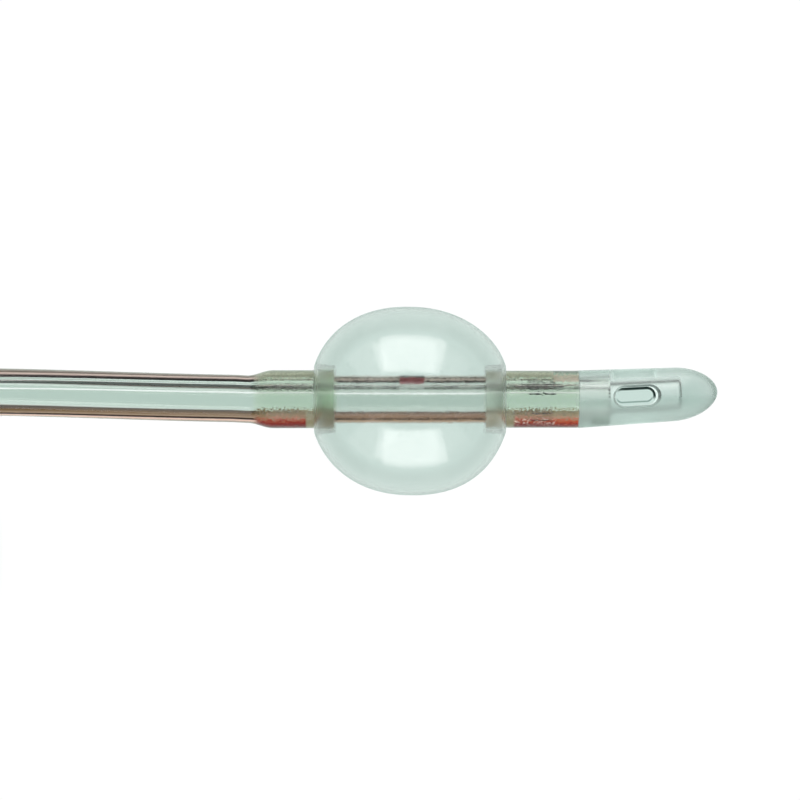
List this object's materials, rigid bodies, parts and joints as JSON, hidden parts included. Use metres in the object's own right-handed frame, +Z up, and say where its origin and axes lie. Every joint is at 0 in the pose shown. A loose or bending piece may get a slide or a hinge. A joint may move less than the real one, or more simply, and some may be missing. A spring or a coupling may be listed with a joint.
{
  "type": "foley urinary catheter",
  "caption": "Clear silicone urinary catheter in a loop: blind tip with drainage eyes, filled retention balloon, striped soft shaft, flared drainage funnel and angled inflation valve.",
  "frame": {"origin": "on the surface it lies on, under the middle of the head, which is the tip, the balloon sleeve and the rear bond", "axes": "+X along the head from the shaft towards the tip, +Z up from the surface, +Y to the left of the head seen from above"},
  "size_m": [0.1791, 0.0719, 0.0238],
  "materials": {
    "clear_silicone": "clear glossy silicone with an orange-red stripe that shows on X-rays",
    "frosted_silicone": "thin frosted silicone, nearly clear where it is stretched",
    "adhesive": "clear cured silicone adhesive",
    "milky_silicone": "milky satin silicone",
    "coloured_plastic": "moulded plastic in the colour that tells the size",
    "white_plastic": "moulded white plastic",
    "check_rubber": "dark matt rubber"
  },
  "bodies": {
    "root": {"shaft": "clear_silicone", "tip": "clear_silicone", "balloon_sleeve": "frosted_silicone", "rear_bond": "adhesive", "front_lumen_plug": "adhesive", "rear_lumen_plug": "adhesive", "drainage_funnel": "milky_silicone", "valve_housing": "coloured_plastic", "valve_inlet": "white_plastic", "valve_membrane": "check_rubber"}
  },
  "joints": []
}
